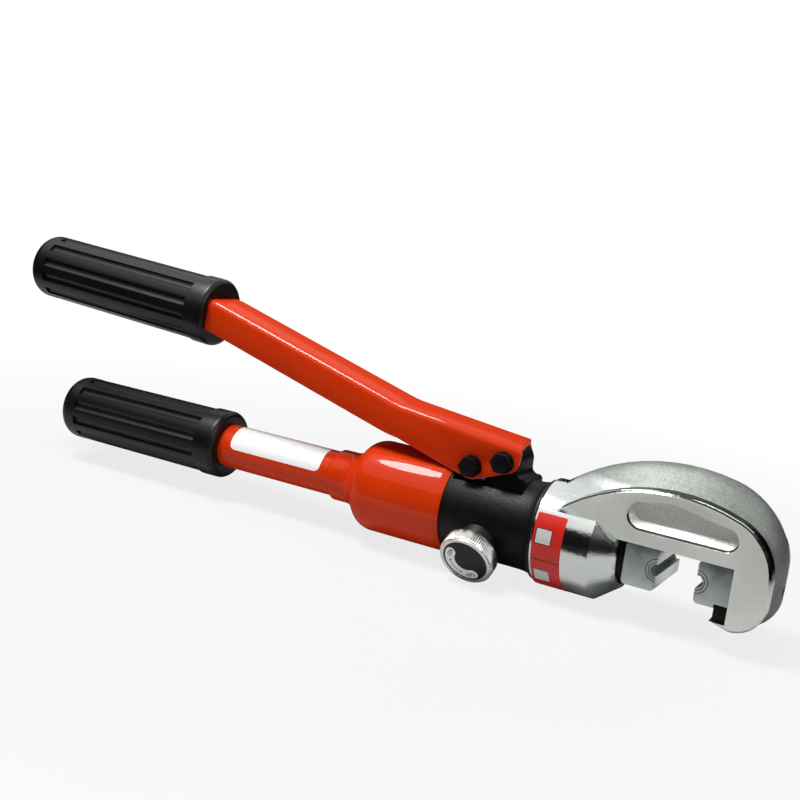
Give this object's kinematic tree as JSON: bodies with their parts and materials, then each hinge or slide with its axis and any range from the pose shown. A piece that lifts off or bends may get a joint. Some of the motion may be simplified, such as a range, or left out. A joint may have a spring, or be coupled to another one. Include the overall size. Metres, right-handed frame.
{
  "type": "hydraulic crimping tool",
  "caption": "Hand hydraulic crimping tool: a C-shaped press head with two dies, pump body, release knob, oil reservoir and two gripped handles.",
  "frame": {"origin": "under the middle of the tool's box, at its lowest point", "axes": "+X along the tool's axis towards the press head, +Z towards the moving handle, -Y the side with the release knob"},
  "size_m": [0.3457, 0.0483, 0.097],
  "materials": {
    "chrome_plate": "bright plated forging",
    "bright_steel": "ground steel",
    "black_steel": "semi-gloss black",
    "orange_paint": "gloss orange-red paint",
    "grip_black": "satin black moulding",
    "seal_rubber": "black rubber",
    "gland_brass": "turned",
    "disc_black": "black printed disc"
  },
  "bodies": {
    "frame": {"c_head": "chrome_plate", "fixed_die": "bright_steel", "detent_ball": "bright_steel", "detent_spring": "bright_steel", "return_spring": "bright_steel", "spring_anchor": "bright_steel", "suction_ball": "bright_steel", "suction_spring": "bright_steel", "delivery_ball": "bright_steel", "delivery_spring": "bright_steel", "delivery_plug": "bright_steel", "relief_ball": "bright_steel", "relief_spring": "bright_steel", "relief_screw": "bright_steel", "release_ball": "bright_steel", "bladder_clamp": "bright_steel", "filler_plug": "bright_steel", "die_keeper": "black_steel", "detent_screw": "black_steel", "pump_body": "black_steel", "reservoir_bell": "orange_paint", "handle_tube": "orange_paint", "handle_grip": "grip_black", "head_seal": "seal_rubber", "plunger_seal": "seal_rubber", "oil_bladder": "seal_rubber", "plunger_gland": "gland_brass"},
    "ram_group": {"ram": "black_steel", "ram_seal": "seal_rubber", "moving_die": "bright_steel"},
    "lever": {"lever_arm": "orange_paint", "lever_grip": "grip_black", "pivot_bolt": "black_steel", "pivot_washer": "black_steel", "plunger_bolt": "black_steel", "plunger_nut": "black_steel", "plunger_washers": "black_steel"},
    "plunger": {"pump_plunger": "bright_steel"},
    "knob": {"release_knob": "chrome_plate", "knob_disc": "disc_black", "release_spindle": "bright_steel", "release_seal": "seal_rubber"}
  },
  "joints": [
    {"name": "lever_swing", "type": "hinge", "parent": "frame", "child": "lever", "pos_m": [0.06886, 0.00431, 0.04565], "axis": [0, 1, 0], "range_deg": [0, 40]},
    {"name": "plunger_slide", "type": "slide", "parent": "frame", "child": "plunger", "axis": [0, 0, 1], "range_m": [0, 0.0092]},
    {"name": "ram_slide", "type": "slide", "parent": "frame", "child": "ram_group", "axis": [1, 0, 0], "range_m": [0, 0.0136], "stiffness_N_per_m": 1500, "springref_m": -0.01},
    {"name": "knob_turn", "type": "hinge", "parent": "frame", "child": "knob", "pos_m": [0.06496, 0.00431, 0.02235], "axis": [0, -0.8746, -0.4848], "range_deg": [0, 90]}
  ],
  "couplings": [
    {"joint": "plunger_slide", "follows": "lever_swing", "m_per_rad": 0.013009}
  ]
}
